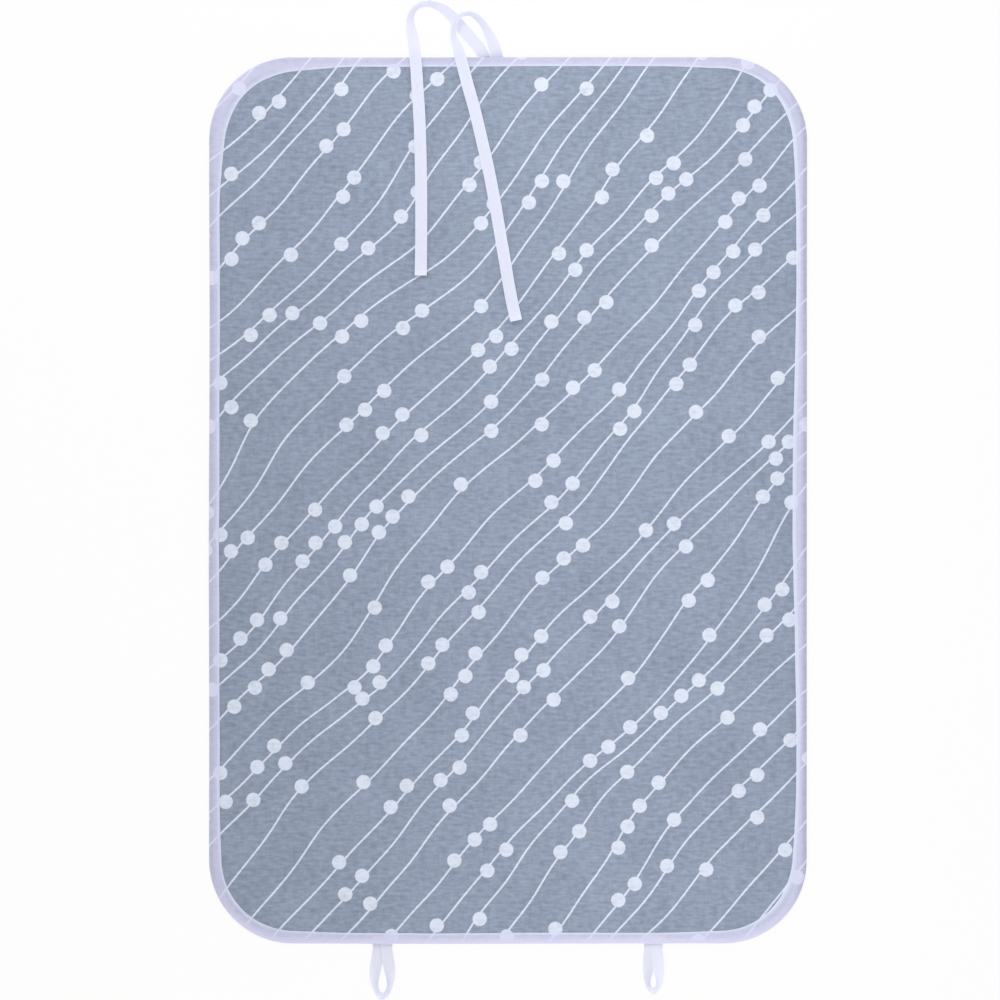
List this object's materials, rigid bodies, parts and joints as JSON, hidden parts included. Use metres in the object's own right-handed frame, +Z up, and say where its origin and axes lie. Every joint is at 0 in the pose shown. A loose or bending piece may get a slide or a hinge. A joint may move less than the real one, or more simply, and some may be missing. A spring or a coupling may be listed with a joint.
{
  "type": "ironing pad",
  "caption": "Flat padded ironing pad with rounded corners and a bound edge, tie tapes folded over its face at one end and hanging loops at the other.",
  "frame": {"origin": "middle of the pad's underside, on the table it lies on", "axes": "+X across the pad, +Y along it towards the edge that carries the tie tapes, +Z up out of the printed face"},
  "size_m": [0.6, 1.0014, 0.0179],
  "materials": {
    "face_cloth": "plain-woven blue-grey cotton with thin white wavy lines and dots",
    "felt": "needled off-white polyester felt",
    "backing_cloth": "woven cotton with a silver-grey heat-reflecting coating",
    "binding_cloth": "thin white bias strip, a little see-through",
    "tape_cloth": "white twill cotton tape"
  },
  "bodies": {
    "pad": {"backing_cover": "backing_cloth", "felt_padding": "felt", "face_cover": "face_cloth", "edge_binding": "binding_cloth", "left_tie_root": "tape_cloth", "right_tie_root": "tape_cloth", "left_loop_tail": "tape_cloth", "right_loop_tail": "tape_cloth"},
    "left_tie_end": {"left_tie_end": "tape_cloth"},
    "right_tie_end": {"right_tie_end": "tape_cloth"},
    "left_loop": {"left_loop": "tape_cloth"},
    "right_loop": {"right_loop": "tape_cloth"}
  },
  "joints": [
    {"name": "left_tie_lift", "type": "hinge", "parent": "pad", "child": "left_tie_end", "pos_m": [-0.09239, 0.43828, 0.0078], "axis": [-0.9966, -0.0827, 0], "range_deg": [0, 120]},
    {"name": "right_tie_lift", "type": "hinge", "parent": "pad", "child": "right_tie_end", "pos_m": [-0.04597, 0.43828, 0.0078], "axis": [-0.9637, -0.267, 0], "range_deg": [0, 120]},
    {"name": "left_loop_swing", "type": "hinge", "parent": "pad", "child": "left_loop", "pos_m": [-0.126, -0.44635, 0.0005], "axis": [-1, 0, 0], "range_deg": [-90, 90]},
    {"name": "right_loop_swing", "type": "hinge", "parent": "pad", "child": "right_loop", "pos_m": [0.146, -0.44635, 0.0005], "axis": [-1, 0, 0], "range_deg": [-90, 90]}
  ]
}
